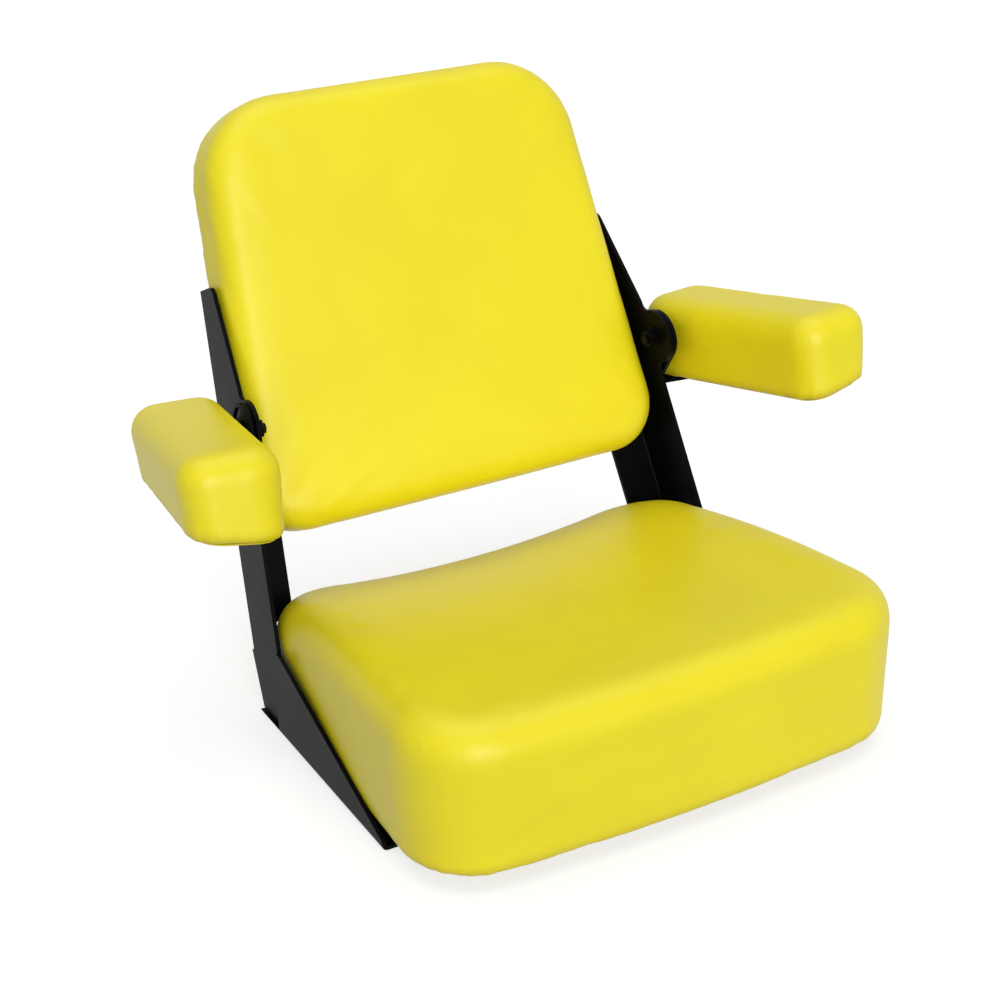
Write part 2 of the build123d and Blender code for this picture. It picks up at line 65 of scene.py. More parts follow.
def add_node(tree: bpy.types.NodeTree, kind: str, settings: dict[str, Any] | None = None,
             inputs: dict[Any, Any] | None = None) -> bpy.types.Node:
    """Add one node to a tree.

    Args:
        tree: the shader or geometry tree.
        kind: Blender's name of the node's type.
        settings: attributes of the node to set.
        inputs: a value or an output socket for each input, by its name or number.

    Returns:
        The new node.
    """
    made = tree.nodes.new(kind)
    for name, value in (settings or {}).items():
        setattr(made, name, value)
    for key, value in (inputs or {}).items():
        if isinstance(value, bpy.types.NodeSocket):
            tree.links.new(value, made.inputs[key])
        else:
            made.inputs[key].default_value = value
    return made


def ramp(tree: bpy.types.NodeTree, factor: bpy.types.NodeSocket,
         stops: Sequence[tuple[float, tuple[float, float, float, float]]]) -> bpy.types.NodeSocket:
    """Add a colour ramp.

    Args:
        tree: the shader tree.
        factor: the output that drives the ramp.
        stops: places from 0 to 1 with their linear colours, in order.

    Returns:
        The ramp's colour output.
    """
    made = add_node(tree, "ShaderNodeValToRGB", inputs={"Fac": factor})
    elements = made.color_ramp.elements
    while len(elements) < len(stops):
        elements.new(0.5)
    for element, (place, colour) in zip(elements, stops):
        element.position, element.color = place, colour
    return made.outputs["Color"]


def seen_ray(tree: bpy.types.NodeTree) -> bpy.types.NodeSocket:
    """Tell what is looked at, mirrored or seen through from plain light.

    Args:
        tree: the shader tree.

    Returns:
        An output that is 1 for such a ray and 0 for light.
    """
    rays = add_node(tree, "ShaderNodeLightPath").outputs
    mirrored = add_node(tree, "ShaderNodeMath", {"operation": "MAXIMUM"},
                        {0: rays["Is Camera Ray"], 1: rays["Is Glossy Ray"]}).outputs[0]
    return add_node(tree, "ShaderNodeMath", {"operation": "MAXIMUM"},
                    {0: mirrored, 1: rays["Is Transmission Ray"]}).outputs[0]


def smooth_step(value: np.ndarray | float, low: float, high: float) -> np.ndarray:
    """Ease from 0 at low to 1 at high."""
    t = np.clip((np.asarray(value, float) - low) / (high - low), 0, 1)
    return t * t * (3 - 2 * t)


class Finish:
    """A surface finish that makes its own material once."""

    def material(self) -> bpy.types.Material:
        """Make the finish's material at its first use.

        Returns:
            The material, the same one each time.
        """
        name = type(self).__name__
        found = bpy.data.materials.get(name)
        if found:
            return found
        made = bpy.data.materials.new(name)
        made.use_nodes = True
        tree = made.node_tree
        tree.nodes.clear()
        where = add_node(tree, "ShaderNodeTexCoord").outputs["Object"]
        surface = self.surface(tree, where)
        add_node(tree, "ShaderNodeOutputMaterial", inputs={"Surface": surface})
        return made

    def surface(self, tree: bpy.types.NodeTree, where: bpy.types.NodeSocket) -> bpy.types.NodeSocket:
        """Build the shader.

        Args:
            tree: the material's tree.
            where: object coordinates.

        Returns:
            The shader's output.
        """
        raise NotImplementedError


@dataclass(frozen=True)
class CoatedVinyl(Finish):
    """Calendered PVC upholstery cloth: an even satin skin with a shallow leather grain."""

    yellow: str = "E9DA17"
    deep: str = "E4D414"
    # painted shade: the darker yellow that the rim takes by the board, standing in for the shade where
    # cushion meets board
    painted_rim_shade: str = "B9A81E"
    # The pressed grain is about 1.2 mm; it is drawn at 2.4 mm, or it would not show in the render.
    grain: float = 2.4 * MM
    blotch: float = 90 * MM
    roughness: tuple[float, float] = (0.40, 0.50)

    def surface(self, tree: bpy.types.NodeTree, where: bpy.types.NodeSocket) -> bpy.types.NodeSocket:
        """Grain cells as bump, slow changes of depth of colour, and painted shade that darkens the rim by the
        board.

        Args:
            tree: the material's tree.
            where: object coordinates.

        Returns:
            The shader's output.
        """
        blotch = add_node(tree, "ShaderNodeTexNoise", inputs={
            "Vector": where, "Scale": 1 / self.blotch, "Detail": 3.0, "Roughness": 0.5}).outputs["Fac"]
        tone = ramp(tree, blotch, ((0.30, linear(self.deep)), (0.70, linear(self.yellow))))
        # painted shade: the rim mark mixes the colour towards the darker rim colour by the board
        rim = add_node(tree, "ShaderNodeAttribute", {"attribute_name": "rim"}).outputs["Fac"]
        colour = add_node(tree, "ShaderNodeMix", {"data_type": "RGBA"}, {
            "Factor": rim, 6: tone, 7: linear(self.painted_rim_shade)}).outputs[2]
        cells = add_node(tree, "ShaderNodeTexVoronoi", {"feature": "SMOOTH_F1"}, {
            "Vector": where, "Scale": 1 / self.grain, "Smoothness": 0.6,
            "Randomness": 1.0}).outputs["Distance"]
        fold = add_node(tree, "ShaderNodeTexNoise", inputs={
            "Vector": where, "Scale": 0.25 / self.grain, "Detail": 2.0}).outputs["Fac"]
        pressed = add_node(tree, "ShaderNodeBump", inputs={
            "Strength": 0.10, "Distance": 0.25 * MM, "Height": cells})
        skin = add_node(tree, "ShaderNodeBump", inputs={
            "Strength": 0.06, "Distance": 0.6 * MM, "Height": fold, "Normal": pressed.outputs["Normal"]})
        gloss = add_node(tree, "ShaderNodeMapRange", inputs={
            "Value": blotch, 3: self.roughness[0], 4: self.roughness[1]}).outputs[0]
        return add_node(tree, "ShaderNodeBsdfPrincipled", inputs={
            "Base Color": colour, "Roughness": gloss, "IOR": 1.5, "Specular IOR Level": 0.45,
            "Normal": skin.outputs["Normal"]}).outputs[0]


@dataclass(frozen=True)
class EnamelledSteel(Finish):
    """Stove-enamelled sheet steel: deep black, glossy, with a faint orange peel."""

    black: str = "060607"
    worn: str = "0D0E11"
    peel: float = 2.5 * MM
    patch: float = 60 * MM
    roughness: tuple[float, float] = (0.32, 0.44)

    def surface(self, tree: bpy.types.NodeTree, where: bpy.types.NodeSocket) -> bpy.types.NodeSocket:
        """Orange peel as bump, and dull patches where hands and dust have been.

        Args:
            tree: the material's tree.
            where: object coordinates.

        Returns:
            The shader's output.
        """
        patch = add_node(tree, "ShaderNodeTexNoise", inputs={
            "Vector": where, "Scale": 1 / self.patch, "Detail": 5.0, "Roughness": 0.6}).outputs["Fac"]
        colour = ramp(tree, patch, ((0.45, linear(self.black)), (0.85, linear(self.worn))))
        peel = add_node(tree, "ShaderNodeTexNoise", inputs={
            "Vector": where, "Scale": 1 / self.peel, "Detail": 1.0}).outputs["Fac"]
        skin = add_node(tree, "ShaderNodeBump", inputs={
            "Strength": 0.05, "Distance": 0.15 * MM, "Height": peel})
        gloss = add_node(tree, "ShaderNodeMapRange", inputs={
            "Value": patch, 3: self.roughness[0], 4: self.roughness[1]}).outputs[0]
        return add_node(tree, "ShaderNodeBsdfPrincipled", inputs={
            "Base Color": colour, "Roughness": gloss, "IOR": 1.5, "Specular IOR Level": 0.04,
            "Normal": skin.outputs["Normal"]}).outputs[0]


@dataclass(frozen=True)
class ZincPlate(Finish):
    """Bright zinc plated hardware: pale grey metal with a faint warm and cool passivation."""

    cool: str = "C3C8CC"
    warm: str = "CFC9B6"
    bloom: float = 4 * MM
    roughness: tuple[float, float] = (0.28, 0.45)

    def surface(self, tree: bpy.types.NodeTree, where: bpy.types.NodeSocket) -> bpy.types.NodeSocket:
        """Small clouds of colour and of dullness on a metal.

        Args:
            tree: the material's tree.
            where: object coordinates.

        Returns:
            The shader's output.
        """
        cloud = add_node(tree, "ShaderNodeTexNoise", inputs={
            "Vector": where, "Scale": 1 / self.bloom, "Detail": 4.0}).outputs["Fac"]
        colour = ramp(tree, cloud, ((0.35, linear(self.cool)), (0.65, linear(self.warm))))
        gloss = add_node(tree, "ShaderNodeMapRange", inputs={
            "Value": cloud, 3: self.roughness[0], 4: self.roughness[1]}).outputs[0]
        return add_node(tree, "ShaderNodeBsdfPrincipled", inputs={
            "Base Color": colour, "Metallic": 1.0, "Roughness": gloss}).outputs[0]


@dataclass(frozen=True)
class BirchPlywood(Finish):
    """Rotary cut birch plywood: pale wood with long wavy grain and a dry, matt face."""

    pale: str = "D8BC8C"
    dark: str = "B48D58"
    grain: float = 5 * MM
    stretch: float = 14.0

    def surface(self, tree: bpy.types.NodeTree, where: bpy.types.NodeSocket) -> bpy.types.NodeSocket:
        """Noise stretched along the board's length, as colour and as fine bump.

        Args:
            tree: the material's tree.
            where: object coordinates.

        Returns:
            The shader's output.
        """
        along = add_node(tree, "ShaderNodeMapping", inputs={
            "Vector": where, "Scale": (1.0, self.stretch, self.stretch)}).outputs[0]
        figure = add_node(tree, "ShaderNodeTexNoise", inputs={
            "Vector": along, "Scale": 1 / (self.grain * self.stretch), "Detail": 6.0, "Roughness": 0.55,
            "Distortion": 0.6}).outputs["Fac"]
        colour = ramp(tree, figure, ((0.35, linear(self.dark)), (0.60, linear(self.pale))))
        pores = add_node(tree, "ShaderNodeBump", inputs={
            "Strength": 0.2, "Distance": 0.3 * MM, "Height": figure})
        return add_node(tree, "ShaderNodeBsdfPrincipled", inputs={
            "Base Color": colour, "Roughness": 0.72, "IOR": 1.45,
            "Normal": pores.outputs["Normal"]}).outputs[0]


@dataclass(frozen=True)
class StapleWire(Finish):
    """Flat galvanised staple wire: dull grey metal."""

    grey: str = "AEB3B6"
    dull: str = "8D9294"
    drag: float = 1 * MM

    def surface(self, tree: bpy.types.NodeTree, where: bpy.types.NodeSocket) -> bpy.types.NodeSocket:
        """Drawing marks as changes of grey.

        Args:
            tree: the material's tree.
            where: object coordinates.

        Returns:
            The shader's output.
        """
        marks = add_node(tree, "ShaderNodeTexNoise", inputs={
            "Vector": where, "Scale": 1 / self.drag, "Detail": 2.0}).outputs["Fac"]
        colour = ramp(tree, marks, ((0.3, linear(self.dull)), (0.7, linear(self.grey))))
        return add_node(tree, "ShaderNodeBsdfPrincipled", inputs={
            "Base Color": colour, "Metallic": 1.0, "Roughness": 0.4}).outputs[0]


@dataclass(frozen=True)
class StudioPaper(Finish):
    """Matt background paper, lit through from below: white to the eye, with a soft shadow on it."""

    sheet: str = "B4B4B4"
    cloud: str = "B7B7B7"
    through: float = 0.68

    def surface(self, tree: bpy.types.NodeTree, where: bpy.types.NodeSocket) -> bpy.types.NodeSocket:
        """A diffuse sheet, and its own light where it is looked at or mirrored.

        Args:
            tree: the material's tree.
            where: object coordinates.

        Returns:
            The shader's output.
        """
        cloud = add_node(tree, "ShaderNodeTexNoise", inputs={"Vector": where, "Scale": 2.0}).outputs["Fac"]
        colour = ramp(tree, cloud, ((0.0, linear(self.sheet)), (1.0, linear(self.cloud))))
        matt = add_node(tree, "ShaderNodeBsdfDiffuse", inputs={"Color": colour}).outputs[0]
        strength = add_node(tree, "ShaderNodeMath", {"operation": "MULTIPLY"},
                            {0: seen_ray(tree), 1: self.through}).outputs[0]
        glow = add_node(tree, "ShaderNodeEmission", inputs={"Strength": strength}).outputs[0]
        return add_node(tree, "ShaderNodeAddShader", inputs={0: matt, 1: glow}).outputs[0]


def mesh_object(name: str, mesh: bpy.types.Mesh) -> bpy.types.Object:
    """Link a new object at the origin.

    Args:
        name: the piece's name.
        mesh: its mesh, in the row frame.

    Returns:
        The object.
    """
    made = bpy.data.objects.new(name, mesh)
    bpy.context.scene.collection.objects.link(made)
    return made


def settle(piece: bpy.types.Object) -> None:
    """Turn what a piece's modifiers make into its plain mesh.

    Args:
        piece: the object, which loses its modifiers.
    """
    evaluated = piece.evaluated_get(bpy.context.evaluated_depsgraph_get())
    made = bpy.data.meshes.new_from_object(evaluated)
    piece.modifiers.clear()
    old, piece.data = piece.data, made
    bpy.data.meshes.remove(old)


def coordinates(mesh: bpy.types.Mesh) -> np.ndarray:
    """Read a mesh's vertices.

    Args:
        mesh: the mesh.

    Returns:
        Their places, one row each.
    """
    flat = np.empty(len(mesh.vertices) * 3)
    mesh.vertices.foreach_get("co", flat)
    return flat.reshape(-1, 3)


def normals_of(mesh: bpy.types.Mesh) -> np.ndarray:
    """Read the normals of a mesh's vertices.

    Args:
        mesh: the mesh.

    Returns:
        Their directions, one row each.
    """
    flat = np.empty(len(mesh.vertices) * 3)
    mesh.vertices.foreach_get("normal", flat)
    return flat.reshape(-1, 3)


def nearest_tree(*names: str) -> BVHTree:
    """Build one search tree of the surfaces of some CAD nodes.

    Args:
        names: the nodes' names.

    Returns:
        The tree, for distances in the row frame.
    """
    points: list[Vector] = []
    faces: list[list[int]] = []
    for name in names:
        mesh = NODES[name].data
        first = len(points)
        points += [v.co.copy() for v in mesh.vertices]
        faces += [[first + i for i in p.vertices] for p in mesh.polygons]
    return BVHTree.FromPolygons(points, faces)


class Side(Enum):
    """Which side of the seat a piece is on, as its sign of X."""

    LEFT = -1
    RIGHT = 1

    @property
    def label(self) -> str:
        """The side's name as it ends a piece's name."""
        return self.name.lower()


@dataclass(frozen=True)
class Layout:
    """The main lines of frame and arms, in millimetres and degrees, as the part's source has them."""

    lean: float = 22.7
    rear_line: float = 131.6
    rail_half: float = 243.0
    steel: float = 4.0
    seat_base: float = 16.0
    arm_splay: float = 8.0
    arm_tilt: float = 8.8
    pad_roll: float = 8.0
    foam_gap: float = 0.3

    @property
    def forward(self) -> Vector:
        """Towards the sitter, square to the back."""
        a = math.radians(self.lean)
        return Vector((0, -math.cos(a), math.sin(a)))

    def from_arm_board(self, side: Side) -> Vector:
        """Find the direction square to an arm's board, which rises outward under the pad.

        Args:
            side: which arm.

        Returns:
            The direction from the board into the pad.
        """
        splay, tilt, roll = (math.radians(a) for a in (self.arm_splay, self.arm_tilt, self.pad_roll))
        ahead = Vector((side.value * math.sin(splay) * math.cos(tilt), -math.cos(splay) * math.cos(tilt),
                        math.sin(tilt)))
        aside = Vector((side.value * math.cos(splay), math.sin(splay), 0))
        return ahead.cross(aside) * side.value * math.cos(roll) - aside * math.sin(roll)


LAYOUT = Layout()
VINYL, STEEL, ZINC, PLY, WIRE = CoatedVinyl(), EnamelledSteel(), ZincPlate(), BirchPlywood(), StapleWire()


class Repeat(Enum):
    """What a row of like small shapes is made of."""

    STAPLE = "staple"
    WELD_RIPPLE = "weld_ripple"


@dataclass
class PointRow:
    """A row of like small shapes set on points by Geometry Nodes.

    Each point carries the direction along its row and the direction out of its surface.
    """

    name: str
    shape: Repeat
    length: float
    thickness: float
    finish: Finish
    turn: float = 0.06
    seed: int = 7
    points: list[Vector] = field(default_factory=list)
    along: list[Vector] = field(default_factory=list)
    out: list[Vector] = field(default_factory=list)

    def place(self, point: Vector, along: Vector, out: Vector) -> None:
        """Add one place to the row.

        Args:
            point: the place.
            along: the direction along the row.
            out: the direction out of the surface.
        """
        self.points.append(point)
        self.along.append(along)
        self.out.append(out)

    def tree(self) -> tuple[bpy.types.NodeTree, dict[str, str]]:
        """Build the node tree.

        Returns:
            The tree, and the identifier of each named input.
        """
        tree = bpy.data.node_groups.new(f"row_of_{self.shape.value}", "GeometryNodeTree")
        sockets = {"Geometry": "NodeSocketGeometry", "Length": "NodeSocketFloat",
                   "Thickness": "NodeSocketFloat", "Turn": "NodeSocketFloat", "Seed": "NodeSocketInt",
                   "Material": "NodeSocketMaterial"}
        names = {name: tree.interface.new_socket(name, in_out="INPUT", socket_type=kind).identifier
                 for name, kind in sockets.items()}
        tree.interface.new_socket("Geometry", in_out="OUTPUT", socket_type="NodeSocketGeometry")
        given = add_node(tree, "NodeGroupInput").outputs
        if self.shape is Repeat.STAPLE:
            bar = add_node(tree, "GeometryNodeMeshCylinder", inputs={
                "Vertices": 8, "Side Segments": 1, "Radius": given["Thickness"], "Depth": given["Length"]})
            one = add_node(tree, "GeometryNodeTransform", inputs={
                "Geometry": bar.outputs["Mesh"], "Rotation": (0, math.pi / 2, 0), "Scale": (1, 1.4, 0.8)})
        else:
            ball = add_node(tree, "GeometryNodeMeshUVSphere", inputs={
                "Segments": 12, "Rings": 7, "Radius": given["Thickness"]})
            one = add_node(tree, "GeometryNodeTransform", inputs={
                "Geometry": ball.outputs["Mesh"], "Scale": (0.8, 1.0, 0.8)})
        directions = {}
        for key in ("along", "out"):
            directions[key] = add_node(tree, "GeometryNodeInputNamedAttribute", {"data_type": "FLOAT_VECTOR"},
                                       {"Name": key}).outputs["Attribute"]
        upright = add_node(tree, "FunctionNodeAlignRotationToVector", {"axis": "Z"},
                           {"Vector": directions["out"]}).outputs[0]
        facing = add_node(tree, "FunctionNodeAlignRotationToVector", {"axis": "X", "pivot_axis": "Z"},
                          {"Rotation": upright, "Vector": directions["along"]}).outputs[0]
        low = add_node(tree, "ShaderNodeMath", {"operation": "MULTIPLY"},
                       {0: given["Turn"], 1: -1.0}).outputs[0]
        wobble = add_node(tree, "FunctionNodeRandomValue", {"data_type": "FLOAT"}, {
            2: low, 3: given["Turn"], "Seed": given["Seed"]}).outputs[1]
        twist = add_node(tree, "FunctionNodeAxisAngleToRotation", inputs={
            "Axis": (0, 0, 1), "Angle": wobble}).outputs[0]
        turned = add_node(tree, "FunctionNodeRotateRotation", {"rotation_space": "LOCAL"},
                          {"Rotation": facing, "Rotate By": twist}).outputs[0]
        dots = add_node(tree, "GeometryNodeMeshToPoints", inputs={"Mesh": given["Geometry"]}).outputs[0]
        row = add_node(tree, "GeometryNodeInstanceOnPoints", inputs={
            "Points": dots, "Instance": one.outputs[0], "Rotation": turned}).outputs[0]
        real = add_node(tree, "GeometryNodeRealizeInstances", inputs={"Geometry": row}).outputs[0]
        soft = add_node(tree, "GeometryNodeSetShadeSmooth", inputs={"Geometry": real}).outputs[0]
        painted = add_node(tree, "GeometryNodeSetMaterial", inputs={
            "Geometry": soft, "Material": given["Material"]}).outputs[0]
        add_node(tree, "NodeGroupOutput", inputs={0: painted})
        return tree, names

    def build(self) -> bpy.types.Object:
        """Make the row as one plain mesh.

        Returns:
            The row's object.
        """
        mesh = bpy.data.meshes.new(self.name)
        mesh.from_pydata([tuple(p) for p in self.points], [], [])
        for key, vectors in (("along", self.along), ("out", self.out)):
            made = mesh.attributes.new(key, "FLOAT_VECTOR", "POINT")
            made.data.foreach_set("vector", np.array([tuple(v) for v in vectors], np.float32).ravel())
        piece = mesh_object(self.name, mesh)
        modifier = piece.modifiers.new("row", "NODES")
        tree, names = self.tree()
        modifier.node_group = tree
        for key, value in (("Length", self.length), ("Thickness", self.thickness), ("Turn", self.turn),
                           ("Seed", self.seed), ("Material", self.finish.material())):
            modifier[names[key]] = value
        settle(piece)
        return piece


@dataclass
class PaddedCover:
    """Foam on a board, under drawn vinyl: a CAD cushion blown up softly as cloth."""

    name: str
    board: str
    body: str
    base: Vector
    up: Vector
    voxel: float = 5.0 * MM
    slack: float = 3.0 * MM
    cap: float = 5.0 * MM
    pressure: float = 4.0
    fill: float = 0.8
    pleat: float = 0.7 * MM
    pleat_pitch: float = 10 * MM
    pleat_rise: tuple[float, float] = (3 * MM, 30 * MM)
    pleat_plain: float = 0.25
    pleat_draw: float = 0.3
    pleat_slice: float = 4.7
    pleat_gain: float = 1.6
    pocket_room: float = 2.0 * MM
    pocket_near: float = 0.9 * MM
    slack_rise: tuple[float, float] = (4 * MM, 30 * MM)
    held_rise: tuple[float, float] = (8 * MM, 14 * MM)
    frames: int = 20
    skin_keep: float = 0.35
    fit_rounds: int = 40
    fit_free: tuple[float, float] = (3 * MM, 9 * MM)
    corner_span: tuple[float, float] = (0.45, 0.85)
    rim_rise: tuple[float, float] = (1 * MM, 14 * MM)
    # painted shade: how strongly the rim by the board is darkened
    rim_painted_shade: float = 0.55

    def start_form(self) -> bpy.types.Mesh:
        """Copy the CAD cushion, a little smaller above its rim and with room around its board.

        Returns:
            The form that the cloth starts from.
        """
        made = bmesh.new()
        made.from_mesh(NODES[self.name].data)
        bmesh.ops.remove_doubles(made, verts=made.verts, dist=0.01 * MM)
        bmesh.ops.recalc_face_normals(made, faces=made.faces)
        made.normal_update()
        board = nearest_tree(self.board)
        slack = self.slack
        moves = []
        for vertex in made.verts:
            touch, _, _, gap = board.find_nearest(vertex.co)
            if gap < self.pocket_near:
                moves.append((vertex.co - touch).normalized() * self.pocket_room)
            else:
                rise = (vertex.co - self.base).dot(self.up)
                moves.append(vertex.normal * -slack * float(smooth_step(rise, *self.slack_rise)))
        for vertex, move in zip(made.verts, moves):
            vertex.co += move
        mesh = bpy.data.meshes.new(self.name + "_cover")
        made.to_mesh(mesh)
        made.free()
        return mesh

    def blow_up(self, piece: bpy.types.Object) -> None:
        """Press the cover out from inside for some frames, and keep each point within its cap.

        Args:
            piece: the cover at rest.
        """
        rest = coordinates(piece.data)
        rise = (rest - np.array(self.base)) @ np.array(self.up)
        held = piece.vertex_groups.new(name="held")
        for index in np.nonzero(rise < self.held_rise[1])[0]:
            held.add([int(index)], float(1 - smooth_step(rise[index], *self.held_rise)), "REPLACE")
        cloth = piece.modifiers.new("Cloth", "CLOTH")
        skin = cloth.settings
        skin.quality = 6
        skin.mass = 0.3
        skin.tension_stiffness = skin.compression_stiffness = 25
        skin.shear_stiffness = 12
        skin.bending_stiffness = 4
        skin.use_pressure = True
        skin.uniform_pressure_force = self.pressure
        skin.effector_weights.gravity = 0
        skin.vertex_group_mass = "held"
        cloth.collision_settings.use_collision = False
        cloth.point_cache.frame_start, cloth.point_cache.frame_end = 1, self.frames
        scene = bpy.context.scene
        for step in range(1, self.frames + 1):
            scene.frame_set(step)
        blown = coordinates(piece.evaluated_get(bpy.context.evaluated_depsgraph_get()).data)
        scene.frame_set(1)
        piece.modifiers.clear()
        piece.vertex_groups.clear()
        move = blown - rest
        size = np.linalg.norm(move, axis=1)
        log.info("%s: cloth moved %.1f mm in the middle, %.1f mm at most", self.name,
                 np.median(size) / MM, size.max() / MM)
        move *= (self.cap * np.tanh(size / self.cap) / np.maximum(size, 1e-9))[:, None]
        piece.data.vertices.foreach_set("co", (rest + move).ravel())
        piece.data.update()

    def fit(self, piece: bpy.types.Object) -> None:
        """Bring the blown cover back to its foam's outline, with only a share of its fine unevenness.

        Args:
            piece: the cover, after the cloth has moved.
        """
        mesh = piece.data
        solid, board = nearest_tree(self.name), nearest_tree(self.board)
        points, normals = coordinates(mesh), normals_of(mesh)
        gap, free = np.zeros(len(points)), np.zeros(len(points))
        for index, point in enumerate(map(Vector, points)):
            touch, normal, _, _ = solid.find_nearest(point)
            gap[index] = (point - touch).dot(normal)
            free[index] = board.find_nearest(point)[3]
        ends = np.empty(len(mesh.edges) * 2, np.int32)
        mesh.edges.foreach_get("vertices", ends)
        first, second = ends.reshape(-1, 2).T
        links = np.bincount(ends, minlength=len(points))
        slow = gap.copy()
        for _ in range(self.fit_rounds):
            around = np.bincount(first, slow[second], len(points))
            around += np.bincount(second, slow[first], len(points))
            slow = 0.5 * slow + 0.5 * around / np.maximum(links, 1)
        shift = -(slow + (1 - self.skin_keep) * (gap - slow)) * smooth_step(free, *self.fit_free)
        mesh.vertices.foreach_set("co", (points + normals * shift[:, None]).ravel())
        mesh.update()

    def pucker(self, piece: bpy.types.Object) -> None:
        """Gather the vinyl in small pleats towards its rim, most at the corners, and mark the rim with
        painted shade, darkest by the board.

        Args:
            piece: the cover in its last shape.
        """
        mesh = piece.data
        points, normals = coordinates(mesh), normals_of(mesh)
        local = points - np.array(self.base)
        rise = local @ np.array(self.up)
        side = Vector((1, 0, 0)) if abs(self.up.x) < 0.5 else Vector((0, 1, 0))
        first = (side - side.dot(self.up) * self.up).normalized()
        second = self.up.cross(first)
        plan = np.stack([local @ np.array(first), local @ np.array(second)], axis=1)
        middle = (plan.max(0) + plan.min(0)) / 2
        half = (plan.max(0) - plan.min(0)) / 2
        spread = (plan - middle) / half
        corner = smooth_step(np.abs(spread).min(axis=1), *self.corner_span)
        low = 1 - smooth_step(rise, *self.pleat_rise)
        weight = self.pleat * low * (self.pleat_plain + (1 - self.pleat_plain) * corner)
        angle = np.arctan2(spread[:, 1], spread[:, 0])
        reach = float(half.mean())
        shift = np.zeros(len(points))
        for index in np.nonzero(weight > 0.01 * MM)[0]:
            along = angle[index] * reach / self.pleat_pitch
            higher = self.pleat_draw * rise[index] / self.pleat_pitch
            shift[index] = weight[index] * noise.noise(Vector((along, higher, self.pleat_slice)))
        mesh.vertices.foreach_set("co", (points + normals * (self.pleat_gain * shift)[:, None]).ravel())
        # painted shade: the rim is darkened where the cover meets its board, fading higher up
        mark = mesh.attributes.new("rim", "FLOAT", "POINT")
        painted_rim_darkness = self.rim_painted_shade * (1 - smooth_step(rise, *self.rim_rise))
        mark.data.foreach_set("value", painted_rim_darkness.astype(np.float32))
        mesh.update()

    def build(self) -> bpy.types.Object:
        """Make the cover's finished mesh.

        Returns:
            The cover's object.
        """
        piece = mesh_object(self.name + "_cover", self.start_form())
        remesh = piece.modifiers.new("Remesh", "REMESH")
        remesh.mode, remesh.voxel_size = "VOXEL", self.voxel
        settle(piece)
        self.blow_up(piece)
        self.fit(piece)
        relax = piece.modifiers.new("Smooth", "SMOOTH")
        relax.factor, relax.iterations = 0.5, 2
        divide = piece.modifiers.new("Subdivision", "SUBSURF")
        divide.levels = divide.render_levels = 1
        settle(piece)
        self.pucker(piece)
        piece.data.shade_smooth()
        solid = nearest_tree(self.name)
        outside = []
        for point in map(Vector, coordinates(piece.data)[::17]):
            touch, normal, _, _ = solid.find_nearest(point)
            outside.append((point - touch).dot(normal) / MM)
        log.info("%s: %.1f to %.1f mm outside the solid, %.1f mm in the middle", self.name,
                 np.percentile(outside, 2), np.percentile(outside, 98), np.median(outside))
        return piece

    def dress(self, piece: bpy.types.Object) -> None:
        """Give the cover its vinyl and its place on the part.

        Args:
            piece: the finished cover.
        """
        piece.data.materials.clear()
        piece.data.materials.append(VINYL.material())
        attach(piece, self.body)
        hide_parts(self.name)


@dataclass
class Cushions:
    """The four padded pieces."""

    covers: list[PaddedCover] = field(default_factory=list)

    def __post_init__(self) -> None:
        """Set out the seat, the back and both arm pads."""
        self.covers.append(PaddedCover(
            "seat_cushion", "seat_board", "frame", Vector((0, 0, (LAYOUT.seat_base + LAYOUT.foam_gap) * MM)),
            Vector((0, 0, 1)), voxel=6 * MM))
        rear = Vector((0, LAYOUT.rear_line, 0)) + (LAYOUT.steel + LAYOUT.foam_gap) * LAYOUT.forward
        self.covers.append(PaddedCover(
            "back_cushion", "back_board", "frame", rear * MM, LAYOUT.forward, voxel=6 * MM))
        for side in Side:
            name = f"arm_pad_{side.label}"
            up = LAYOUT.from_arm_board(side)
            points = coordinates(NODES[f"arm_board_{side.label}"].data) @ np.array(up)
            base = up * float(points.min())
            centre = coordinates(NODES[name].data).mean(axis=0)
            base += Vector(centre) - up * Vector(centre).dot(up)
            self.covers.append(PaddedCover(
                name, f"arm_board_{side.label}", f"arm_{side.label}", base, up, voxel=4 * MM, slack=2.5 * MM,
                cap=5 * MM, pleat=0.8 * MM, pleat_pitch=9 * MM))

    def build(self) -> None:
        """Make and dress every cover."""
        for cover in self.covers:
            piece = cover.build()
            cover.dress(piece)
            log.info("%s: %d faces", piece.name, len(piece.data.polygons))


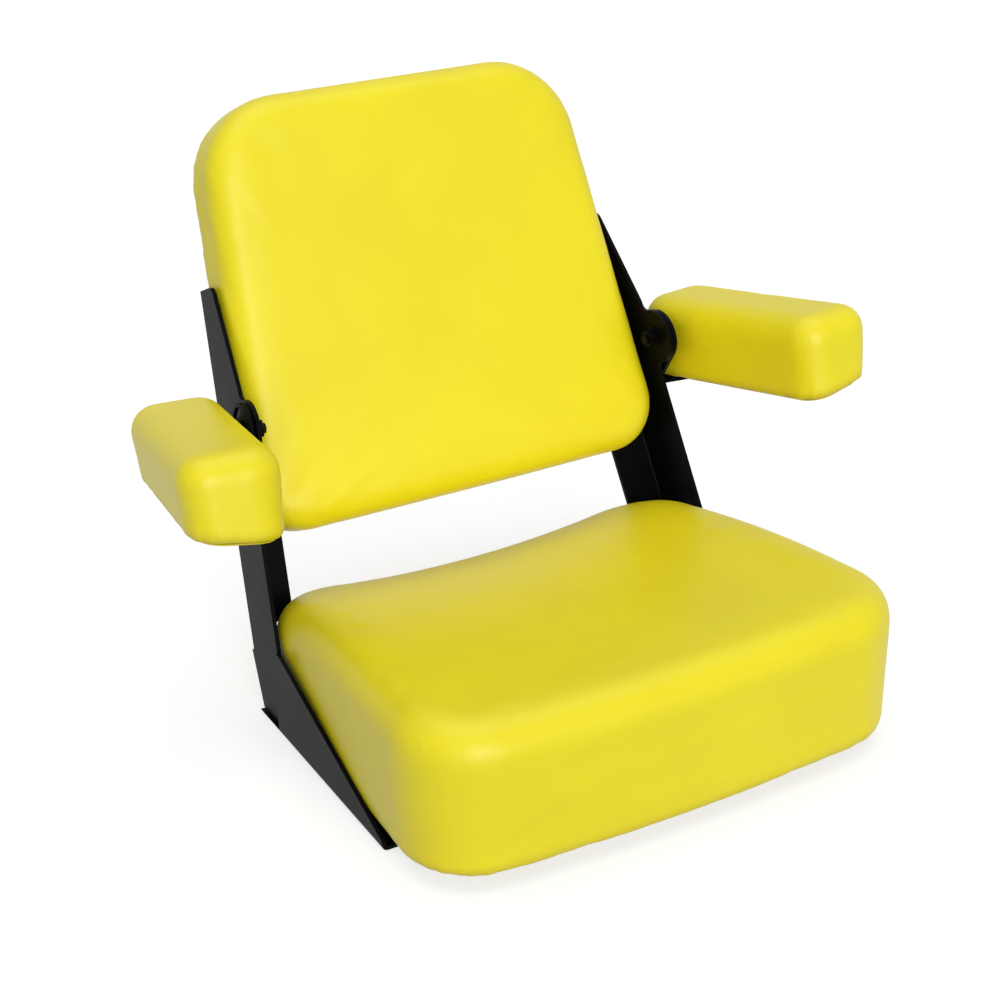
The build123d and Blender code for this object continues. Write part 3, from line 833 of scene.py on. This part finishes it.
@dataclass
class StapledHem:
    """The turned-in edge of a cover on its board's outer face, with a row of staples."""

    name: str
    board: str
    clear_of: tuple[str, ...]
    up: Vector
    body: str = "frame"
    width: float = 26 * MM
    narrow: float = 0.0
    overhang: float = 7 * MM
    thickness: float = 1.0 * MM
    step: float = 4 * MM
    staple_pitch: float = 24 * MM
    staple_line: float = 13 * MM
    staple_length: float = 10 * MM
    staple_wire: float = 0.6 * MM
    staple_turn: float = 0.12
    room: float = 1.5 * MM
    probe_shares: tuple[float, ...] = (-0.23, 0.15, 0.54, 0.92)
    ragged: float = 1.6 * MM
    ragged_pitch: float = 18 * MM
    shortest: int = 8
    # painted shade: the hem is darkened evenly towards the rim colour
    soil: float = 0.3

    def outline(self) -> tuple[list[Vector], list[Vector]]:
        """Walk the edge of the board's outer face.

        Returns:
            Points at even steps, and the direction into the board at each.
        """
        points = coordinates(NODES[self.board].data)
        depth = points @ np.array(self.up)
        level = float(depth.min())
        first = (Vector((1, 0, 0)) - self.up.x * self.up).normalized()
        second = self.up.cross(first)
        face = points[depth < level + 0.05 * MM]
        flat = np.stack([face @ np.array(first), face @ np.array(second)], axis=1)
        made = bmesh.new()
        for x, y in flat:
            made.verts.new((x, y, 0))
        bmesh.ops.convex_hull(made, input=made.verts)
        corners = np.array([v.co[:2] for v in made.verts if v.link_edges])
        made.free()
        centre = corners.mean(axis=0)
        order = np.argsort(np.arctan2(corners[:, 1] - centre[1], corners[:, 0] - centre[0]))
        loop = corners[order]
        closed = np.vstack([loop, loop[:1]])
        lengths = np.linalg.norm(np.diff(closed, axis=0), axis=1)
        total = np.concatenate([[0], np.cumsum(lengths)])
        places = np.arange(0, total[-1], self.step)
        xs, ys = np.interp(places, total, closed[:, 0]), np.interp(places, total, closed[:, 1])
        edge = [first * float(x) + second * float(y) + self.up * level for x, y in zip(xs, ys)]
        inward = []
        for index in range(len(edge)):
            along = (edge[(index + 2) % len(edge)] - edge[index - 2]).normalized()
            inward.append(self.up.cross(along).normalized())
        return edge, inward

    def room_for(self, here: Vector, into: Vector, others: BVHTree) -> float:
        """Find how wide the hem can be at a point of the edge.

        Args:
            here: the point.
            into: the direction into the board.
            others: the pieces that lie against the board.

        Returns:
            The full width, the narrow one beside another piece, or nothing.
        """
        for width in (self.width, self.narrow):
            places = [here + into * share * width - self.up * 0.5 * self.thickness
                      for share in self.probe_shares]
            if width and all(others.find_nearest(p)[3] > self.room + self.thickness / 2 for p in places):
                return width
        return 0.0

    def build(self) -> tuple[bpy.types.Object, PointRow]:
        """Make the hem's strips where nothing lies against the board.

        Returns:
            The hem, and its row of staples.
        """
        edge, inward = self.outline()
        others = nearest_tree(*self.clear_of)
        free = [self.room_for(here, into, others) for here, into in zip(edge, inward)]
        runs: list[list[int]] = []
        count = len(edge)
        start = free.index(0.0) if 0.0 in free else 0
        current: list[int] = []
        for offset in range(count + 1):
            index = (start + offset) % count
            if free[index] and offset < count:
                current.append(index)
            elif current:
                runs.append(current)
                current = []
        row = PointRow(self.name.replace("hem", "staples"), Repeat.STAPLE, self.staple_length,
                       self.staple_wire, WIRE, turn=self.staple_turn)
        made = bmesh.new()
        for run in runs:
            if len(run) < self.shortest:
                continue
            rings = []
            for index in run:
                here, into = edge[index], inward[index]
                ragged = self.ragged * noise.noise(here / self.ragged_pitch)
                inner = free[index] + ragged * free[index] / self.width
                section = [(-self.overhang, 0.1), (-self.overhang + 1 * MM, 1.0), (inner - 0.6 * MM, 1.0),
                           (inner, 0.5), (inner - 0.2 * MM, 0.04), (-self.overhang, 0.04)]
                rings.append([made.verts.new(here + into * reach - self.up * self.thickness * depth)
                              for reach, depth in section])
            for ring, following in zip(rings, rings[1:]):
                for k in range(len(ring)):
                    made.faces.new((ring[k], ring[k - 1], following[k - 1], following[k]))
            made.faces.new(rings[0])
            made.faces.new(rings[-1][::-1])
            pitch = max(1, round(self.staple_pitch / self.step))
            for place in range(pitch // 2, len(run), pitch):
                index = run[place]
                if free[index] < self.width:
                    continue
                along = self.up.cross(inward[index])
                row.place(edge[index] + inward[index] * self.staple_line - self.up * self.thickness * 1.25,
                          along, -self.up)
        bmesh.ops.recalc_face_normals(made, faces=made.faces)
        mesh = bpy.data.meshes.new(self.name)
        made.to_mesh(mesh)
        made.free()
        # painted shade: the whole hem gets the rim mark at an even strength
        mark = mesh.attributes.new("rim", "FLOAT", "POINT")
        mark.data.foreach_set("value", np.full(len(mesh.vertices), self.soil, np.float32))
        mesh.shade_smooth()
        return mesh_object(self.name, mesh), row

    def dress(self, piece: bpy.types.Object, row: PointRow) -> None:
        """Give the hem its vinyl, set the staples, and put both on the part.

        Args:
            piece: the hem.
            row: its row of staples, still to be built.
        """
        piece.data.materials.append(VINYL.material())
        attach(piece, self.body)
        if row.points:
            staples = row.build()
            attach(staples, self.body)
            log.info("%s: %d staples", staples.name, len(row.points))
        log.info("%s: %d faces", piece.name, len(piece.data.polygons))


@dataclass
class Welds:
    """Short fillet welds that join uprights and channels to the side rails."""

    pitch: float = 2.2 * MM
    radius: float = 2.6 * MM
    web_rear: float = 93.0
    foot_front: float = 64.0
    foot_rear: float = 135.0
    channel_lines: tuple[float, ...] = (-92.0, -24.0, 18.0, 86.0)
    channel_ends: tuple[float, float] = (206.0, 232.0)
    web_span: tuple[float, float] = (14.0, 82.0)
    corner_proud: float = 0.8
    foot_proud: float = 0.4
    floor_proud: float = 0.6

    def build(self) -> bpy.types.Object:
        """Lay every bead.

        Returns:
            All the beads as one piece.
        """
        row = PointRow("weld_beads", Repeat.WELD_RIPPLE, self.pitch, self.radius, STEEL, turn=0.25, seed=11)
        half, steel = LAYOUT.rail_half, LAYOUT.steel
        for side in Side:
            s = side.value
            corner = (s * (half + self.corner_proud), self.web_rear + self.corner_proud)
            self.bead(row, (*corner, self.web_span[0]), (*corner, self.web_span[1]), Vector((s, 1, 0)))
            foot, level = s * (half - steel - self.foot_proud), steel + self.floor_proud
            self.bead(row, (foot, self.foot_front, level), (foot, self.foot_rear, level), Vector((-s, 0, 1)))
            for line in self.channel_lines:
                inner, outer = ((s * x, line, level) for x in self.channel_ends)
                self.bead(row, inner, outer, Vector((0, 0, 1)))
        return row.build()

    def bead(self, row: PointRow, start: Sequence[float], end: Sequence[float], out: Vector) -> None:
        """Add one bead's ripples to the row.

        Args:
            row: the row of ripples.
            start: the bead's start, in millimetres.
            end: its end, in millimetres.
            out: the direction out of the joint.
        """
        a, b = Vector(start) * MM, Vector(end) * MM
        count = max(2, round((b - a).length / self.pitch))
        for k in range(count + 1):
            row.place(a.lerp(b, k / count), (b - a).normalized(), out.normalized())

    def dress(self, piece: bpy.types.Object) -> None:
        """Put the beads on the frame.

        Args:
            piece: all the beads.
        """
        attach(piece, "frame")
        log.info("%s: %d faces", piece.name, len(piece.data.polygons))


@dataclass
class Carcass:
    """The rigid CAD pieces, which keep their shapes and get their finishes."""

    finish_of_slot: dict[str, Finish] = field(default_factory=lambda: {
        "black_steel": STEEL, "plywood": PLY, "zinc_hardware": ZINC, "yellow_vinyl": VINYL})

    def slot_of(self, name: str) -> str:
        """Name the material slot of a CAD node.

        Args:
            name: the node's name.

        Returns:
            The slot.
        """
        if "cushion" in name or "arm_pad" in name:
            return "yellow_vinyl"
        if "board" in name:
            return "plywood"
        if any(word in name for word in ("rail", "upright", "cross_member", "bracket", "stop_pin", "pivot")):
            return "black_steel"
        return "zinc_hardware"

    def dress(self) -> None:
        """Give every CAD node its procedural material."""
        for name, piece in NODES.items():
            piece.data.materials.clear()
            piece.data.materials.append(self.finish_of_slot[self.slot_of(name)].material())
        log.info("carcass: %d nodes", len(NODES))


@dataclass
class Lamp:
    """One broad studio lamp, far enough away to light the whole floor evenly."""

    name: str
    towards: tuple[float, float, float]
    breadth: float
    level: float

    def build(self) -> None:
        """Hang the lamp so that it lights a facing white surface to its level."""
        data = bpy.data.lights.new(self.name, "SUN")
        data.angle = math.radians(self.breadth)
        data.energy = self.level * math.pi
        lamp = bpy.data.objects.new(self.name, data)
        lamp.rotation_euler = Vector(self.towards).to_track_quat("Z", "Y").to_euler()
        bpy.context.scene.collection.objects.link(lamp)


@dataclass
class Studio:
    """White paper floor, soft lamps and the camera at the photo's angle."""

    aim: tuple[float, float, float] = (-47.61, 5.81, 229.01)
    yaw: float = 28.275
    pitch: float = 24.957
    roll: float = -2.018
    distance: float = 1738.75
    lens: float = 68.93
    sensor: float = 36.0
    floor_radius: float = 7.0
    floor_drop: float = 0.2
    ambient: float = 0.27
    lamps: tuple[Lamp, ...] = (
        Lamp("key", (-0.23, -0.93, 0.27), 34.0, 0.64),
        Lamp("top", (0.0, 0.0, 1.0), 60.0, 0.41),
    )

    def camera(self) -> None:
        """Make the camera."""
        yaw, pitch, roll = (math.radians(a) for a in (self.yaw, self.pitch, self.roll))
        ahead = Vector((math.sin(yaw) * math.cos(pitch), math.cos(yaw) * math.cos(pitch), -math.sin(pitch)))
        level = Vector((math.cos(yaw), -math.sin(yaw), 0))
        top = level.cross(ahead)
        right = level * math.cos(roll) + top * math.sin(roll)
        up = top * math.cos(roll) - level * math.sin(roll)
        data = bpy.data.cameras.new("camera")
        data.lens, data.sensor_width, data.clip_start, data.clip_end = self.lens, self.sensor, 0.05, 50
        eye = bpy.data.objects.new("camera", data)
        turn = Matrix((right, up, -ahead)).transposed().to_4x4()
        eye.matrix_world = Matrix.Translation((Vector(self.aim) - ahead * self.distance) * MM) @ turn
        bpy.context.scene.collection.objects.link(eye)
        bpy.context.scene.camera = eye

    def floor(self) -> None:
        """Lay the paper floor just under the rails."""
        made = bmesh.new()
        bmesh.ops.create_circle(made, cap_ends=True, segments=96, radius=self.floor_radius)
        bmesh.ops.translate(made, verts=made.verts, vec=(0, 0, -self.floor_drop * MM))
        mesh = bpy.data.meshes.new("floor")
        made.to_mesh(mesh)
        made.free()
        paper = mesh_object("floor", mesh)
        mesh.materials.append(StudioPaper().material())

    def world(self) -> None:
        """White where the camera or a reflection sees it, softer as light."""
        made = bpy.data.worlds.new("studio")
        made.use_nodes = True
        tree = made.node_tree
        tree.nodes.clear()
        strength = add_node(tree, "ShaderNodeMapRange", inputs={
            "Value": seen_ray(tree), 3: self.ambient, 4: 1.0}).outputs[0]
        light = add_node(tree, "ShaderNodeBackground", inputs={
            "Color": (1, 1, 1, 1), "Strength": strength}).outputs[0]
        add_node(tree, "ShaderNodeOutputWorld", inputs={"Surface": light})
        bpy.context.scene.world = made

    def build(self) -> None:
        """Set up camera, floor, light and view."""
        self.camera()
        self.floor()
        self.world()
        for lamp in self.lamps:
            lamp.build()
        bpy.context.scene.view_settings.view_transform = "Standard"


def main() -> None:
    """Build every sub-assembly in order."""
    logging.basicConfig(level=logging.INFO, format="%(name)s: %(message)s")
    Carcass().dress()
    Cushions().build()
    hems = [
        StapledHem("seat_hem", "seat_board", ("cross_member_front", "cross_member_rear", "seat_bolts"),
                   Vector((0, 0, 1))),
        StapledHem("back_hem", "back_board", ("upright_left", "upright_right"), LAYOUT.forward),
    ]
    hems += [
        StapledHem(f"arm_hem_{side.label}", f"arm_board_{side.label}", (f"arm_bracket_{side.label}",),
                   LAYOUT.from_arm_board(side), f"arm_{side.label}", width=8.5 * MM, narrow=2.4 * MM,
                   overhang=5 * MM, step=2.5 * MM, staple_pitch=20 * MM, staple_line=4.5 * MM, room=0.8 * MM)
        for side in Side
    ]
    for hem in hems:
        hem.dress(*hem.build())
    welds = Welds()
    welds.dress(welds.build())
    Studio().build()


if __name__ == "__main__":
    main()
